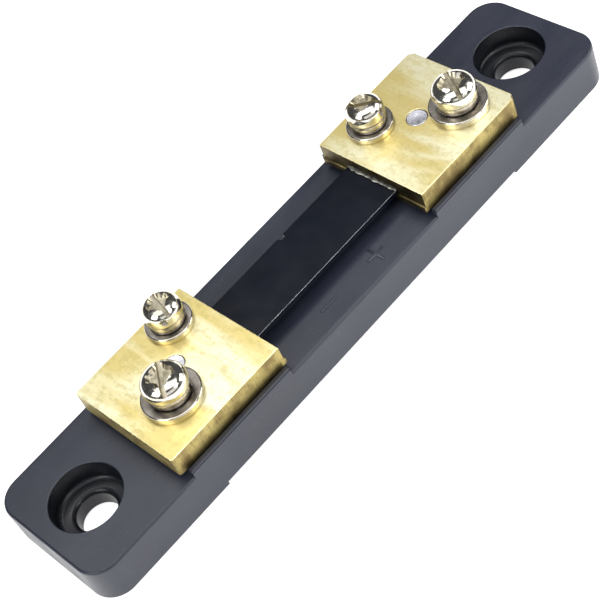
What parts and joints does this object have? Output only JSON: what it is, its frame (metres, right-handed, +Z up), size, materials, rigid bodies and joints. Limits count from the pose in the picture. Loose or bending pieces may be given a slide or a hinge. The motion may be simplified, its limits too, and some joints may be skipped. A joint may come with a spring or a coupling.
{
  "type": "battery monitor shunt",
  "caption": "Current shunt on a black moulded bar: brass terminal blocks joined by a lacquered resistance strip, each with a current screw, a sense screw and captive washers.",
  "frame": {"origin": "centre of the base's underside, at the level of its two end feet", "axes": "+X along the bar from block a to block b, +Z up out of the terminal blocks, -Y towards the current screws"},
  "size_m": [0.118, 0.025, 0.0186],
  "materials": {
    "base_plastic": "fine moulded grain, slight sheen",
    "block_brass": "brushed top, sawn sides",
    "strip_lacquer": "satin black lacquer",
    "braze_filler": "silver filler metal",
    "fixing_steel": "zinc plated",
    "nickel_screw": "bright nickel plate",
    "nickel_washer": "nickel plate, slightly dull",
    "spring_steel": "nickel plated spring steel"
  },
  "bodies": {
    "root": {"base": "base_plastic", "brass_block_a": "block_brass", "brass_block_b": "block_brass", "resistance_strip": "strip_lacquer", "braze_fillet_a": "braze_filler", "braze_fillet_b": "braze_filler", "fixing_screw_a": "fixing_steel", "fixing_screw_b": "fixing_steel"},
    "current_washers_a": {"current_flat_washer_a": "nickel_washer", "current_spring_washer_a": "spring_steel"},
    "current_turner_a": {"current_screw_a": "nickel_screw"},
    "sense_washers_a": {"sense_flat_washer_a": "nickel_washer", "sense_spring_washer_a": "spring_steel"},
    "sense_turner_a": {"sense_screw_a": "nickel_screw"},
    "current_washers_b": {"current_flat_washer_b": "nickel_washer", "current_spring_washer_b": "spring_steel"},
    "current_turner_b": {"current_screw_b": "nickel_screw"},
    "sense_washers_b": {"sense_flat_washer_b": "nickel_washer", "sense_spring_washer_b": "spring_steel"},
    "sense_turner_b": {"sense_screw_b": "nickel_screw"}
  },
  "joints": [
    {"name": "current_lift_a", "type": "slide", "parent": "root", "child": "current_washers_a", "axis": [0, 0, 1], "range_m": [0, 0.0028]},
    {"name": "current_turn_a", "type": "hinge", "parent": "current_washers_a", "child": "current_turner_a", "pos_m": [-0.03145, -0.0033, 0.0124], "axis": [0, 0, 1], "range_deg": [0, 1440]},
    {"name": "sense_lift_a", "type": "slide", "parent": "root", "child": "sense_washers_a", "axis": [0, 0, 1], "range_m": [0, 0.0024]},
    {"name": "sense_turn_a", "type": "hinge", "parent": "sense_washers_a", "child": "sense_turner_a", "pos_m": [-0.0222, 0.0072, 0.0124], "axis": [0, 0, 1], "range_deg": [0, 1440]},
    {"name": "current_lift_b", "type": "slide", "parent": "root", "child": "current_washers_b", "axis": [0, 0, 1], "range_m": [0, 0.0028]},
    {"name": "current_turn_b", "type": "hinge", "parent": "current_washers_b", "child": "current_turner_b", "pos_m": [0.0335, -0.0046, 0.0124], "axis": [0, 0, 1], "range_deg": [0, 1440]},
    {"name": "sense_lift_b", "type": "slide", "parent": "root", "child": "sense_washers_b", "axis": [0, 0, 1], "range_m": [0, 0.0024]},
    {"name": "sense_turn_b", "type": "hinge", "parent": "sense_washers_b", "child": "sense_turner_b", "pos_m": [0.0236, 0.0059, 0.0124], "axis": [0, 0, 1], "range_deg": [0, 1440]}
  ],
  "couplings": [
    {"joint": "current_turn_a", "follows": "current_lift_a", "rad_per_m": 8976},
    {"joint": "sense_turn_a", "follows": "sense_lift_a", "rad_per_m": 10472},
    {"joint": "current_turn_b", "follows": "current_lift_b", "rad_per_m": 8976},
    {"joint": "sense_turn_b", "follows": "sense_lift_b", "rad_per_m": 10472}
  ]
}
